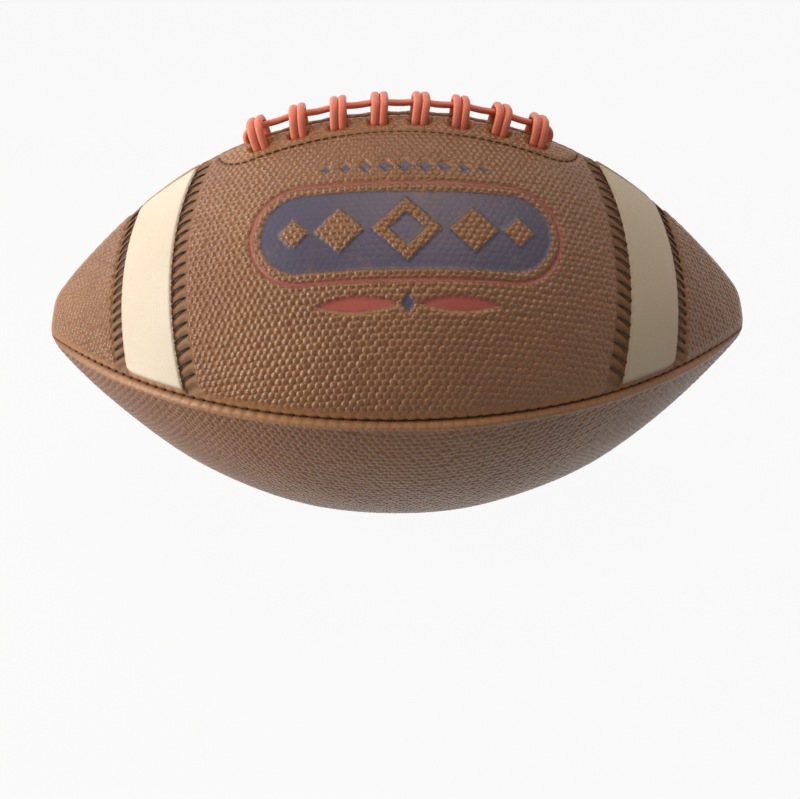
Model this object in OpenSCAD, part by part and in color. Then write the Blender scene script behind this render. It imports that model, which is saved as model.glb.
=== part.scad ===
// Laced leather football: four stitched panels, each with its lining, over an inflated bladder.
// +X runs from nose to nose, the laces are on top, and the origin is under the middle of the
// bottom seam, where the ball touches the ground.

/* [Ball] */
// Half of the length, from the middle to one nose
half_length = 140; // [115:1:170]
// Distance from the long axis to the middle of a panel
half_width = 77; // [64:0.5:93]
// How far each panel's own axis lies behind the long axis, which squares the ball's section
set_back = 38; // [30:1:60]
// Radius of each nose
nose_radius = 17.5; // [14.5:0.5:22]
// Fullness of the belly: its arc against the single arc that would meet the nose
belly_fullness = 0.94; // [0.88:0.01:0.97]
// Flatness of the flanks between belly and nose, against the same arc
flank_flatness = 1.6; // [1.4:0.01:2.2]

/* [Panels] */
// Thickness of the leather
leather_t = 1.8; // [1.2:0.1:2.4]
// Depth of the edge that is turned in and sewn at each seam
flange_depth = 5.5; // [4.5:0.5:7]
// Gap between two panels' turned edges
seam_gap = 0.1; // [0.05:0.05:0.3]
// Thickness of the woven lining
lining_t = 0.8; // [0.5:0.1:1.5]
// Glue gap between glued layers
bond_gap = 0.1; // [0.05:0.05:0.2]
// Thickness of the sewing thread in the seams
thread_t = 0.9; // [0.6:0.1:1.3]
// Depth of the line of seam stitches below the outer surface
thread_depth = 3.4; // [2.8:0.1:4.2]

/* [Stripes] */
// Distance of each stripe's middle from the middle of the ball
stripe_x = 92; // [75:1:105]
// Width of a stripe
stripe_w = 25; // [15:1:32]
// Thickness of a stripe
stripe_t = 0.5; // [0.3:0.1:0.9]
// Distance kept between a stripe and the seams
stripe_margin = 1.5; // [1:0.5:5]
// Width of the band of stitches along each edge of a stripe
stitch_band_w = 5; // [3:0.5:7]
// Thickness of a stitch's thread
stitch_t = 0.7; // [0.5:0.1:1]
// Distance from one stitch to the next
stitch_pitch = 4; // [2:0.5:6]
// Slant of the stitches
stitch_slant = 32; // [10:1:50]

/* [Lacing] */
// Number of lace crosses
cross_count = 8; // [6:2:10]
// Distance from one cross to the next
cross_pitch = 15.2; // [12:0.2:18]
// Width of the flat lace
lace_w = 3.1; // [2.6:0.1:5]
// Thickness of the lace
lace_t = 2.4; // [1.8:0.1:3]
// Distance from the seam to each row of lace holes
hole_offset = 8; // [6.5:0.5:10]
// Clear height between the seam and the lengthwise lace
lace_lift = 2.2; // [1.5:0.1:3.5]
// Bend radius of the lace's middle line where it turns
lace_turn = 3.4; // [2.6:0.1:4.5]
// How far past the last cross the lengthwise lace goes down
strand_past = 2.2; // [1:0.1:4]
// Gap between laces that lie on each other
lace_gap = 0.1; // [0.05:0.05:0.3]
// Clearance between a lace and the wall of its hole
hole_clear = 0.2; // [0.1:0.05:0.5]
// Width of the slit between the two rows of holes
slit_w = 2.8; // [2:0.1:5]
// Half of the width of the sewn outline around the lacing
outline_half_w = 14; // [12:0.5:18]
// How far the sewn outline runs past the last cross
outline_past = 15; // [12:0.5:20]
// Thickness of the thread that sews the outline
outline_thread_t = 0.7; // [0.5:0.1:1]
// Thickness of the strip that backs each row of holes
backing_t = 1; // [0.8:0.1:2]
// Thickness of the guard between laces and bladder
guard_t = 1; // [0.8:0.1:2]

/* [Bladder and valve] */
// Wall of the bladder
bladder_t = 0.8; // [0.5:0.1:1.5]
// Running gap between the bladder and what it presses on
bladder_gap = 0.3; // [0.2:0.1:0.5]
// Radius of the valve's stem
stem_r = 3; // [2.5:0.1:4]
// Radius of the valve's foot inside the bladder
foot_r = 6.5; // [5:0.5:9]
// Radius of the patch that joins the valve to the bladder
patch_r = 13; // [10:0.5:18]
// Thickness of the patch and of the foot
patch_t = 1.2; // [0.8:0.1:2]
// Length of the valve's stem
stem_length = 15; // [12:0.5:20]
// Radius of the soft plug in the stem
plug_r = 1.8; // [1.5:0.1:2.2]
// Radius of the inflating needle's hole in the plug
needle_r = 1; // [0.8:0.1:1.2]
// Depth of the needle's hole
needle_depth = 5; // [3:0.5:8]

/* [Hidden] */
$fn = 128;
skin = 0.04;                 // air under what lies on the leather
reach = 3 * half_length;     // longer than any part of the ball
stem_recess = 0.4;           // how far the valve's tip lies below the leather's surface
plug_recess = 0.5;           // how far the plug lies below the stem's tip
guard_side = 2;              // how far the guard reaches past the laces to each side
guard_past = 4;              // how far it reaches past their ends

// The long profile: a belly arc, two flank arcs and two nose arcs, each tangent to the next.
nose_x = half_length - nose_radius;
single_radius = (nose_x^2 + half_width^2 - nose_radius^2) / (2 * (half_width - nose_radius));
belly_radius = belly_fullness * single_radius;
flank_radius = flank_flatness * single_radius;
belly_y = half_width - belly_radius;
spread = flank_radius - belly_radius;
join_k = ((flank_radius - nose_radius)^2 - spread^2 - nose_x^2 - belly_y^2) / (2 * spread);
belly_angle = atan2(belly_y, nose_x) + asin(join_k / norm([nose_x, belly_y]));
flank_x = -spread * sin(belly_angle);
flank_y = belly_y - spread * cos(belly_angle);
nose_angle = atan2(nose_x - flank_x, -flank_y);

// Distance from the long axis to the middle of a panel, and its slope, at a place along the ball
function slope_at(x) = x < belly_radius * sin(belly_angle)
  ? asin(x / belly_radius)
  : asin((x - flank_x) / flank_radius);
function width_at(x) = x < belly_radius * sin(belly_angle)
  ? belly_y + belly_radius * cos(slope_at(x))
  : flank_y + flank_radius * cos(slope_at(x));
// Distance from the long axis to the seams at the same place
function seam_at(x) = -set_back / sqrt(2) + sqrt((width_at(x) + set_back)^2 - set_back^2 / 2);
seam_radius = seam_at(0);

// Layers, as depths below the outer surface
lining_in = leather_t + bond_gap;
lining_out = lining_in + lining_t;
backing_in = lining_out + bond_gap;
backing_out = backing_in + backing_t;
backing_side = seam_gap / 2 + leather_t + thread_t + bladder_gap;

// The lacing lies on an arc that follows the top seam
last_cross = (cross_count - 1) / 2 * cross_pitch;
seam_drop = seam_radius - seam_at(last_cross);
lacing_radius = (last_cross^2 + seam_drop^2) / (2 * seam_drop);
cross_angle = 2 * asin(cross_pitch / 2 / lacing_radius);
last_angle = (cross_count - 1) / 2 * cross_angle;
pair_w = 2 * lace_w + lace_gap;
run_height = lace_lift + lace_t / 2;
arch_height = run_height + lace_t + lace_gap;
end_angle = last_angle + (strand_past - lace_turn) / lacing_radius * 180 / PI;
slit_half = lacing_radius * sin(end_angle) + lace_turn + lace_t;
// The lace runs back under the backing, which lies lowest beside the holes
seam_tilt = 45 - atan2(seam_radius / sqrt(2), seam_radius / sqrt(2) + set_back);
run_edge = hole_offset + lace_w / 2;
panel_fall = run_edge * tan(seam_tilt) + run_edge^2 / 2 / (half_width + set_back);
under_depth = panel_fall + backing_out / cos(seam_tilt) + lace_t / 2 + bladder_gap;
under_angle = end_angle + lace_turn / (lacing_radius - under_depth) * 180 / PI;
guard_in = under_depth + lace_t / 2 + bladder_gap;
guard_out = guard_in + guard_t;
guard_half_w = run_edge + guard_side;
guard_angle = under_angle + guard_past / lacing_radius * 180 / PI;
outline_half_l = last_cross + outline_past;

// The bladder is round. It presses on the guard or on the middle of each lining, whichever is
// closer, and runs level with the lacing. Its domed ends stop short of the edges in the noses.
bladder_arc = lacing_radius - guard_out - bladder_gap;
bladder_top = min(seam_radius - guard_out, half_width - lining_out) - bladder_gap;

// ---- Frames ----

// From a panel's own frame, with its middle along +X and the long axis along Z, to the ball's
module as_upper() rotate([225, 0, 0]) rotate([0, 90, 0]) children();
module as_lower() rotate([-45, 0, 0]) rotate([0, 90, 0]) children();
module at_back() mirror([0, 1, 0]) children();
module at_left() mirror([1, 0, 0]) children();
module on_ground() translate([0, 0, seam_radius]) children();
// A place on the top seam, with Z pointing away from the ball
module on_lacing(angle) {
  translate([0, 0, seam_radius - lacing_radius])
    rotate([0, angle, 0])
      translate([0, 0, lacing_radius])
        children();
}
// The same place on a panel of the right half where the middle of a stripe lies
module at_stripe() {
  translate([width_at(stripe_x), 0, stripe_x]) rotate([0, -slope_at(stripe_x), 0]) children();
}

// ---- Shapes that the panels share ----

// Half section of a panel's outer surface, taken in by depth, about the panel's own axis. The
// belly and nose circles lie inside the flank circles that they meet, so they overlap them.
module profile(depth) {
  belly_end = (belly_radius - depth) * sin(belly_angle);
  flank_end = flank_x + (flank_radius - depth) * sin(nose_angle);
  intersection() {
    translate([set_back + belly_y, 0]) circle(r = belly_radius - depth);
    translate([0, -(belly_end + flank_end) / 2]) square([reach, belly_end + flank_end]);
  }
  for (side = [-1, 1]) {
    intersection() {
      translate([set_back + flank_y, side * flank_x]) circle(r = flank_radius - depth);
      translate([0, side > 0 ? belly_end : -flank_end]) square([reach, flank_end - belly_end]);
    }
    translate([set_back, side * nose_x]) circle(r = nose_radius - depth);
  }
  translate([0, depth - half_length]) square([set_back, 2 * (half_length - depth)]);
}

module form(depth) translate([-set_back, 0, 0]) rotate_extrude() profile(depth);

module shell(outer, inner) {
  difference() {
    form(outer);
    form(inner);
  }
}

// The quarter of space that belongs to one panel, each seam face taken in by inset
module quarter(inset) {
  translate([inset * sqrt(2), 0, 0])
    linear_extrude(2 * reach, center = true)
      polygon([[0, 0], [reach, -reach], [reach, reach]]);
}

// The side of a panel towards its seam at +Y or -Y
module half_of_panel(side) {
  translate([0, side * reach / 2, 0]) cube([2 * reach, reach, 2 * reach], center = true);
}

// ---- Panels and linings ----

module panel() {
  difference() {
    intersection() {
      form(0);
      quarter(seam_gap / 2);
    }
    intersection() {
      form(leather_t);
      quarter(seam_gap / 2 + leather_t);
    }
    form(flange_depth);
  }
}

module lining() {
  intersection() {
    shell(lining_in, lining_out);
    quarter(seam_gap / 2 + leather_t + bond_gap);
  }
}

// ---- Lacing ----

module lace_section(w, t) {
  for (side = [-1, 1]) translate([side * (w - t) / 2, 0]) circle(d = t);
  square([w - t, t], center = true);
}

// A lace's way through every layer, with its clearance
module lace_way(w) {
  translate([0, 0, -under_depth - lace_t]) linear_extrude(under_depth + 3 * lace_t)
    lace_section(w + 2 * hole_clear, lace_t + 2 * hole_clear);
}

// A hole at each end of every cross, and a notch where the lengthwise lace goes down
module lace_holes() {
  for (i = [0 : cross_count - 1], side = [-1, 1]) {
    on_lacing((i - (cross_count - 1) / 2) * cross_angle)
      translate([0, side * hole_offset, 0]) lace_way(pair_w);
  }
  for (side = [0, 1]) mirror([side, 0, 0]) on_lacing(end_angle)
    translate([lace_turn, 0, 0]) rotate(90) lace_way(lace_w);
}

// Room for the open slit: the panels' edges stand back, and nothing is turned in
module slit_cut() {
  translate([-slit_half, -slit_w / 2, 0]) cube([2 * slit_half, slit_w, reach]);
  intersection() {
    as_upper() form(leather_t);
    translate([-slit_half, -2 * leather_t, 0]) cube([2 * slit_half, 4 * leather_t, reach]);
  }
}

// One strand over the seam, from under one row of holes to under the other
module arch() {
  straight = hole_offset - lace_turn;
  leg_top = arch_height - lace_turn;
  translate([0, 0, arch_height]) rotate([90, 0, 0]) linear_extrude(2 * straight, center = true)
    lace_section(lace_w, lace_t);
  for (side = [0, 1]) mirror([0, side, 0]) {
    translate([0, straight, leg_top]) rotate([90, 0, 90]) rotate_extrude(angle = 90)
      translate([lace_turn, 0]) rotate(90) lace_section(lace_w, lace_t);
    translate([0, hole_offset, leg_top]) mirror([0, 0, 1]) linear_extrude(under_depth + leg_top)
      lace_section(lace_w, lace_t);
  }
}

// A lace that follows the seam at a height above it, out to an angle each way
module lengthwise(height, angle) {
  translate([0, 0, seam_radius - lacing_radius])
    rotate([90, 0, 0])
      rotate(90 - angle)
        rotate_extrude(angle = 2 * angle)
          translate([lacing_radius + height, 0])
            rotate(90)
              lace_section(lace_w, lace_t);
}

// The end of the top strand turns down through the slit and joins both rows underneath
module strand_end() {
  on_lacing(end_angle) {
    translate([0, 0, run_height - lace_turn]) rotate([90, 0, 0]) rotate_extrude(angle = 90)
      translate([lace_turn, 0]) rotate(90) lace_section(lace_w, lace_t);
    translate([lace_turn, 0, run_height - lace_turn]) mirror([0, 0, 1])
      linear_extrude(under_depth + run_height - lace_turn)
        rotate(90) lace_section(lace_w, lace_t);
    translate([lace_turn, 0, -under_depth]) rotate([90, 0, 0])
      linear_extrude(2 * hole_offset, center = true) lace_section(lace_w, lace_t);
  }
}

// The area inside the sewn outline, from above
module outline_area(inset) {
  radius = outline_half_w - inset;
  for (side = [-1, 1]) translate([side * (outline_half_l - outline_half_w), 0]) circle(r = radius);
  square([2 * (outline_half_l - outline_half_w), 2 * radius], center = true);
}

// A plate that follows the lacing between two depths
module lacing_plate(from_depth, to_depth, half_w, angle) {
  translate([0, 0, seam_radius - lacing_radius])
    rotate([90, 0, 0])
      rotate(90 - angle)
        rotate_extrude(angle = 2 * angle)
          translate([lacing_radius - to_depth, -half_w])
            square([to_depth - from_depth, 2 * half_w]);
}

// ---- Bladder ----

// The inflated bladder's outer form, taken in by wall
module bladder_form(wall) {
  rotate([0, 90, 0]) rotate_extrude() intersection() {
    translate([bladder_top - bladder_arc, 0]) circle(r = bladder_arc - wall);
    circle(r = nose_x - wall);
    translate([0, -reach]) square([reach, 2 * reach]);
  }
}

// A layer that follows the bladder's wall on its inner side
module inner_layer(depth, thickness, radius) {
  intersection() {
    difference() {
      bladder_form(bladder_t + depth);
      bladder_form(bladder_t + depth + thickness);
    }
    valve_axis(radius, 0, stem_length);
  }
}

// A round of the given radius through the middle of the panel that holds the valve
module valve_axis(radius, from_depth, to_depth) {
  at_back() as_lower() translate([half_width - to_depth, 0, 0]) rotate([0, 90, 0])
    cylinder(r = radius, h = to_depth - from_depth);
}

module valve_hole(radius) valve_axis(radius, -stem_length, stem_length);

// ---- Stripes ----

module stripe() {
  intersection() {
    shell(-stripe_t, -skin);
    at_stripe() cube([reach / 4, reach, stripe_w], center = true);
    quarter(stripe_margin);
  }
}

// Slanted stitches side by side along both edges of a stripe
module stripe_stitches() {
  about = (width_at(stripe_x) + set_back) / cos(slope_at(stripe_x));
  turn = stitch_pitch / about * 180 / PI;
  count = floor(seam_at(stripe_x) / sqrt(2) / stitch_pitch);
  intersection() {
    shell(-stitch_t, -skin);
    quarter(stripe_margin);
    at_stripe() for (edge = [-1, 1], i = [-count : count]) {
      translate([-about, 0, 0])
        rotate([0, 0, i * turn])
          translate([about, 0, edge * (stripe_w + stitch_band_w + stitch_t) / 2])
            rotate([-stitch_slant, 0, 0])
              cube([4 * nose_radius, stitch_t, stitch_band_w], center = true);
    }
  }
}

// ---- Seam threads ----

// The thread along one turned edge of a panel
module edge_thread(side) {
  edge = seam_gap / 2 + leather_t;
  intersection() {
    shell(thread_depth, thread_depth + thread_t);
    difference() {
      quarter(edge + skin);
      quarter(edge + thread_t);
    }
    half_of_panel(side);
    cube([2 * reach, 2 * reach, 2 * (nose_x + thread_t)], center = true);
  }
}

// ---- One module per sub-part ----

module upper_panel() {
  difference() {
    as_upper() panel();
    slit_cut();
    lace_holes();
  }
}

module upper_lining() {
  difference() {
    as_upper() lining();
    lace_holes();
  }
}

module panel_front_upper() color([0.58, 0.36, 0.24]) on_ground() upper_panel();
module panel_back_upper() color([0.58, 0.36, 0.24]) on_ground() at_back() upper_panel();
module panel_front_lower() color([0.52, 0.31, 0.2]) on_ground() as_lower() panel();
module panel_back_lower() color([0.52, 0.31, 0.2]) on_ground() difference() {
  at_back() as_lower() panel();
  valve_hole(stem_r + hole_clear);
}

module lining_front_upper() color([0.86, 0.83, 0.74]) on_ground() upper_lining();
module lining_back_upper() color([0.86, 0.83, 0.74]) on_ground() at_back() upper_lining();
module lining_front_lower() color([0.86, 0.83, 0.74]) on_ground() as_lower() lining();
module lining_back_lower() color([0.86, 0.83, 0.74]) on_ground() difference() {
  at_back() as_lower() lining();
  valve_hole(stem_r + hole_clear);
}

module stripe_front_right() color([0.93, 0.91, 0.84]) on_ground() as_upper() stripe();
module stripe_front_left() color([0.93, 0.91, 0.84]) on_ground() at_left() as_upper() stripe();
module stripe_back_right() color([0.93, 0.91, 0.84]) on_ground() at_back() as_upper() stripe();
module stripe_back_left() {
  color([0.93, 0.91, 0.84]) on_ground() at_left() at_back() as_upper() stripe();
}

module stripe_stitches_front_right() {
  color([0.12, 0.09, 0.08]) on_ground() as_upper() stripe_stitches();
}
module stripe_stitches_front_left() {
  color([0.12, 0.09, 0.08]) on_ground() at_left() as_upper() stripe_stitches();
}
module stripe_stitches_back_right() {
  color([0.12, 0.09, 0.08]) on_ground() at_back() as_upper() stripe_stitches();
}
module stripe_stitches_back_left() {
  color([0.12, 0.09, 0.08]) on_ground() at_left() at_back() as_upper() stripe_stitches();
}

module seam_thread_top() {
  color([0.2, 0.16, 0.13]) on_ground() for (side = [0, 1]) mirror([0, side, 0]) difference() {
    as_upper() edge_thread(-1);
    translate([-slit_half - leather_t, -reach / 2, 0]) cube([2 * (slit_half + leather_t), reach, reach]);
  }
}
module seam_thread_front() {
  color([0.2, 0.16, 0.13]) on_ground() {
    as_upper() edge_thread(1);
    as_lower() edge_thread(-1);
  }
}
module seam_thread_back() {
  color([0.2, 0.16, 0.13]) on_ground() at_back() {
    as_upper() edge_thread(1);
    as_lower() edge_thread(-1);
  }
}
module seam_thread_bottom() {
  color([0.2, 0.16, 0.13]) on_ground() for (side = [0, 1]) mirror([0, side, 0])
    as_lower() edge_thread(1);
}

module lace() {
  color([0.88, 0.38, 0.28]) on_ground() {
    for (i = [0 : cross_count - 1], side = [-1, 1]) {
      on_lacing((i - (cross_count - 1) / 2) * cross_angle)
        translate([side * (lace_w + lace_gap) / 2, 0, 0]) arch();
    }
    lengthwise(run_height, end_angle);
    for (side = [-1, 1]) translate([0, side * hole_offset, 0]) lengthwise(-under_depth, under_angle);
    strand_end();
    at_left() strand_end();
  }
}

module lace_backing() {
  difference() {
    intersection() {
      as_upper() intersection() {
        shell(backing_in, backing_out);
        quarter(backing_side);
      }
      translate([0, 0, seam_radius / 2]) linear_extrude(reach) outline_area(0);
    }
    lace_holes();
  }
}
module lace_backing_front() color([0.45, 0.28, 0.2]) on_ground() lace_backing();
module lace_backing_back() color([0.45, 0.28, 0.2]) on_ground() at_back() lace_backing();

module lace_guard() {
  color([0.3, 0.28, 0.26]) on_ground() lacing_plate(guard_in, guard_out, guard_half_w, guard_angle);
}

module lacing_outline() {
  intersection() {
    as_upper() intersection() {
      shell(-outline_thread_t, -skin);
      quarter(stripe_margin);
    }
    translate([0, 0, seam_radius / 2]) linear_extrude(reach) difference() {
      outline_area(0);
      outline_area(outline_thread_t);
    }
  }
}
module lacing_outline_front() color([0.12, 0.09, 0.08]) on_ground() lacing_outline();
module lacing_outline_back() color([0.12, 0.09, 0.08]) on_ground() at_back() lacing_outline();

module bladder() {
  color([0.13, 0.13, 0.14]) on_ground() difference() {
    bladder_form(0);
    bladder_form(bladder_t);
    valve_hole(stem_r + bond_gap);
  }
}

module valve_patch() {
  color([0.2, 0.2, 0.21]) on_ground() difference() {
    inner_layer(bond_gap, patch_t, patch_r);
    valve_hole(stem_r + bond_gap);
  }
}

module valve_stem() {
  color([0.08, 0.08, 0.09]) on_ground() difference() {
    union() {
      valve_axis(stem_r, stem_recess, stem_length);
      inner_layer(2 * bond_gap + patch_t, patch_t, foot_r);
    }
    valve_hole(plug_r + bond_gap / 2);
  }
}

module valve_plug() {
  plug_top = stem_recess + plug_recess;
  color([0.16, 0.16, 0.17]) on_ground() difference() {
    valve_axis(plug_r, plug_top, stem_length);
    valve_axis(needle_r, plug_top - 1, plug_top + needle_depth);
  }
}

panel_front_upper();
panel_back_upper();
panel_front_lower();
panel_back_lower();
lining_front_upper();
lining_back_upper();
lining_front_lower();
lining_back_lower();
stripe_front_left();
stripe_front_right();
stripe_back_left();
stripe_back_right();
stripe_stitches_front_left();
stripe_stitches_front_right();
stripe_stitches_back_left();
stripe_stitches_back_right();
seam_thread_top();
seam_thread_front();
seam_thread_back();
seam_thread_bottom();
lace();
lace_backing_front();
lace_backing_back();
lace_guard();
lacing_outline_front();
lacing_outline_back();
bladder();
valve_patch();
valve_stem();
valve_plug();
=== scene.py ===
# %% [markdown]
# # A laced leather football
# The ball is four leaf-shaped leather panels sewn edge to edge, with a smooth white stripe sewn
# on near each nose of the two upper panels and a lacing over the top seam. The frame brings the
# construction at its real size, with its origin under the middle of the bottom seam, +X along
# the ball and +Z up through the laces. This notebook gives each of its pieces its real surface.

# %% Load the frame
import math
from functools import partial
import bpy
import numpy as np
from mathutils import Matrix, Vector


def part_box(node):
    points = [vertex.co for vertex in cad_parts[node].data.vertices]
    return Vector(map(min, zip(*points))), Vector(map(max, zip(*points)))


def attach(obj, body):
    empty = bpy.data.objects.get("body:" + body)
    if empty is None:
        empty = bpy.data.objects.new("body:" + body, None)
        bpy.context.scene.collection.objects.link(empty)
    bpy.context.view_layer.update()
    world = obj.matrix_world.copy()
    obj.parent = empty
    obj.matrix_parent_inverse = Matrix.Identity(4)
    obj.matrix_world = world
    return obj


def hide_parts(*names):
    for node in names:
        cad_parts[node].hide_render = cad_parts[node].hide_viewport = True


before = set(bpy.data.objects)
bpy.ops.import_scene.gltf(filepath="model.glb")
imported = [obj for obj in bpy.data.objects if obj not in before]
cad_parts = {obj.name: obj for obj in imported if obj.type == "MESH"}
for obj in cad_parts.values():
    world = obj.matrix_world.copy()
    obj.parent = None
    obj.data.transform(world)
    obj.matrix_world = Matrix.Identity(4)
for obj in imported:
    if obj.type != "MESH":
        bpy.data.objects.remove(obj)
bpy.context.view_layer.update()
MM = 0.001
ROOT2 = math.sqrt(2)
print("nodes in the frame:", len(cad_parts))

# %% [markdown]
# ## The form of a panel
# Every panel is part of a surface of revolution, but not about the ball's own long axis: its axis
# lies set back behind it, so that four panels make a section between round and square. The long
# profile is a belly arc, two flank arcs and two nose arcs. With that rule as a function, panels,
# stripes and stitches can all be laid on the same surface.

# %% The profile's arcs
half_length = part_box("panel_front_lower")[1].x
panel_reach = 77 * MM
set_back = 38 * MM
nose_radius = 17.5 * MM
belly_fullness = 0.94
flank_flatness = 1.6

nose_x = half_length - nose_radius
single_radius = (nose_x**2 + panel_reach**2 - nose_radius**2) / (2 * (panel_reach - nose_radius))
belly_radius = belly_fullness * single_radius
flank_radius = flank_flatness * single_radius
belly_y = panel_reach - belly_radius
spread = flank_radius - belly_radius
join_k = ((flank_radius - nose_radius)**2 - spread**2 - nose_x**2 - belly_y**2) / (2 * spread)
belly_angle = math.atan2(belly_y, nose_x) + math.asin(join_k / math.hypot(nose_x, belly_y))
flank_x = -spread * math.sin(belly_angle)
flank_y = belly_y - spread * math.cos(belly_angle)
nose_angle = math.atan2(nose_x - flank_x, -flank_y)
ARCS = (
    (0, belly_y, belly_radius, 0, belly_angle),
    (flank_x, flank_y, flank_radius, belly_angle, nose_angle),
    (nose_x, 0, nose_radius, nose_angle, math.pi / 2),
)
half_path = sum(radius * (high - low) for _, _, radius, low, high in ARCS)
print("a panel is", round(2 * half_path / MM), "mm long over its middle")


# %% Places on a panel
def meridian(path):
    """Place along the ball, distance from its axis and lean of the surface, at a path length."""
    far = np.abs(path)
    along, out, lean = np.zeros_like(far), np.zeros_like(far), np.zeros_like(far)
    start = 0
    for centre_x, centre_y, radius, low, high in ARCS:
        angle = np.minimum(low + (far - start) / radius, math.pi / 2)
        here = far >= start
        along = np.where(here, centre_x + radius * np.sin(angle), along)
        out = np.where(here, centre_y + radius * np.cos(angle), out)
        lean = np.where(here, angle, lean)
        start += radius * (high - low)
    return np.sign(path) * along, out, np.sign(path) * lean


def on_panel(path, turn, depth):
    """A point of a panel in its own frame: along the ball, out through its middle, and sideways."""
    along, out, lean = meridian(path)
    radius = out + set_back - depth * np.cos(lean)
    return along - depth * np.sin(lean), radius * np.cos(turn) - set_back, radius * np.sin(turn)


def edge_turn(path, depth, inset):
    """The turn at which a layer reaches the plane that lies inset from the seam's."""
    _, out, lean = meridian(path)
    radius = out + set_back - depth * np.cos(lean)
    share = (set_back + inset * ROOT2) / (radius * ROOT2)
    return np.maximum(np.arccos(np.clip(share, -1, 1)) - math.pi / 4, 0)


middle_edge = edge_turn(np.array(0.0), 0, 0)
crest_out = on_panel(np.array(0.0), middle_edge, 0)[1]
seam_radius = float(crest_out * ROOT2)
PANELS = {
    "front_upper": ((-1, 1), (1, 1)),
    "back_upper": ((1, 1), (-1, 1)),
    "front_lower": ((-1, -1), (-1, 1)),
    "back_lower": ((1, -1), (1, 1)),
}


def to_ball(panel, along, out, side):
    """Points of a panel's own frame in the ball's frame, as an array with x, y and z last."""
    (out_y, out_z), (side_y, side_z) = PANELS[panel]
    y = (out * out_y + side * side_y) / ROOT2
    z = (out * out_z + side * side_z) / ROOT2 + seam_radius
    return np.stack(np.broadcast_arrays(along, y, z), axis=-1)


print("the middle of the ball lies", round(seam_radius / MM, 2), "mm up")

# %% [markdown]
# ## From a flat grid to a closed piece
# A panel starts as leather does: as a flat sheet. A grid primitive is added, its rows become
# stations along the ball, and its columns go once round the panel's thickness: over the outer
# face, round the rolled edge, down the turned-in flange and back under the inner face. The last
# column then meets the first, and merging them closes the shell. The same helper makes laces and
# threads, because a tube is a rolled-up sheet too.


# %% Helpers that shape a grid
merge_gap = 1e-6


def shaped_grid(name, table, values=None):
    """A closed piece from a grid primitive whose points move to a table of rows and columns."""
    rows, columns = table.shape[:2]
    bpy.ops.object.select_all(action="DESELECT")
    bpy.ops.mesh.primitive_grid_add(x_subdivisions=rows - 1, y_subdivisions=columns - 1, size=1)
    piece = bpy.context.object
    piece.name = name
    mesh = piece.data
    mesh.name = name
    flat = np.zeros(len(mesh.vertices) * 3, np.float32)
    mesh.vertices.foreach_get("co", flat)
    flat = flat.reshape(-1, 3)
    row = np.rint((flat[:, 0] + 0.5) * (rows - 1)).astype(int)
    column = np.rint((flat[:, 1] + 0.5) * (columns - 1)).astype(int)
    mesh.vertices.foreach_set("co", table[row, column].astype(np.float32).ravel())
    for key, value in (values or {}).items():
        kind = "FLOAT_VECTOR" if value.ndim == 3 else "FLOAT"
        field = "vector" if value.ndim == 3 else "value"
        attribute = mesh.attributes.new(key, kind, "POINT")
        attribute.data.foreach_set(field, value[row, column].astype(np.float32).ravel())
    bpy.ops.object.mode_set(mode="EDIT")
    bpy.ops.mesh.select_all(action="SELECT")
    bpy.ops.mesh.remove_doubles(threshold=merge_gap)
    bpy.ops.mesh.normals_make_consistent(inside=False)
    bpy.ops.object.mode_set(mode="OBJECT")
    bpy.ops.object.shade_smooth()
    return piece


def smooth_step(value, low, high):
    """Rises from 0 at the low value to 1 at the high one, with a soft start and end."""
    share = np.clip((value - low) / (high - low), 0, 1)
    return share * share * (3 - 2 * share)


print("points nearer than", merge_gap / MM, "mm become one")

# %% [markdown]
# ## Where the sewn features lie
# Stripes, stitches, lacing and prints press into the leather round them. Each is a rule that says
# how far a point is from the feature. The distances then shape the surface and colour it.

# %% Stripes and their stitches
stripe_x = 92 * MM
stripe_w = 25 * MM
stitch_reach = 6.2 * MM
stitch_pitch = 4 * MM
stitch_slant = math.radians(24)
stitch_bow = 0.45 * MM
path_table = np.linspace(0, half_path, 3000)
along_table, out_table, lean_table = meridian(path_table)
stripe_path = float(np.interp(stripe_x, along_table, path_table))
stripe_out = float(np.interp(stripe_x, along_table, out_table))
stripe_lean = float(np.interp(stripe_x, along_table, lean_table))
stripe_about = stripe_out + set_back
settling_steps = 12


def from_stripe(along, out):
    """Signed distance from the plane through the middle of a stripe, towards the nose."""
    beyond = (np.abs(along) - stripe_x) * math.cos(stripe_lean)
    return beyond - (out - stripe_out) * math.sin(stripe_lean)


def stripe_path_at(offset, turn):
    """The path length at which a turn of a panel lies at that distance from the stripe's plane."""
    path = stripe_path + offset + 0 * turn
    for _ in range(settling_steps):
        along, out, _ = on_panel(path, turn, 0)
        path = path + offset - from_stripe(along, out)
    return path


def stitch_count(offset, turn):
    """Counts the slanted, slightly bowed stitches along a stripe: whole numbers lie on a stitch."""
    share = np.clip((np.abs(offset) - stripe_w / 2) / stitch_reach * 2 - 1, -1, 1)
    slanted = stripe_about * turn + offset * math.tan(stitch_slant)
    return (slanted - stitch_bow * (1 - share**2)) / stitch_pitch


print("stripes start", round((stripe_path - stripe_w / 2) / MM), "mm from the middle of a panel")

# %% The lacing
cross_count = 8
cross_pitch = 15.2 * MM
lace_w = 3.1 * MM
lace_t = 2.4 * MM
hole_offset = 8 * MM
slit_w = 2.8 * MM
last_cross = (cross_count - 1) / 2 * cross_pitch
crest_table = -set_back / ROOT2 + np.sqrt((out_table + set_back)**2 - set_back**2 / 2)
seam_drop = seam_radius - float(np.interp(last_cross, along_table, crest_table))
lacing_radius = (last_cross**2 + seam_drop**2) / (2 * seam_drop)
cross_angle = 2 * math.asin(cross_pitch / 2 / lacing_radius)
lacing_low = 2 * seam_radius - lacing_radius
outline_w = 14 * MM
outline_l = last_cross + 15 * MM
slit_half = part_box("lace")[1].x


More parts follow.
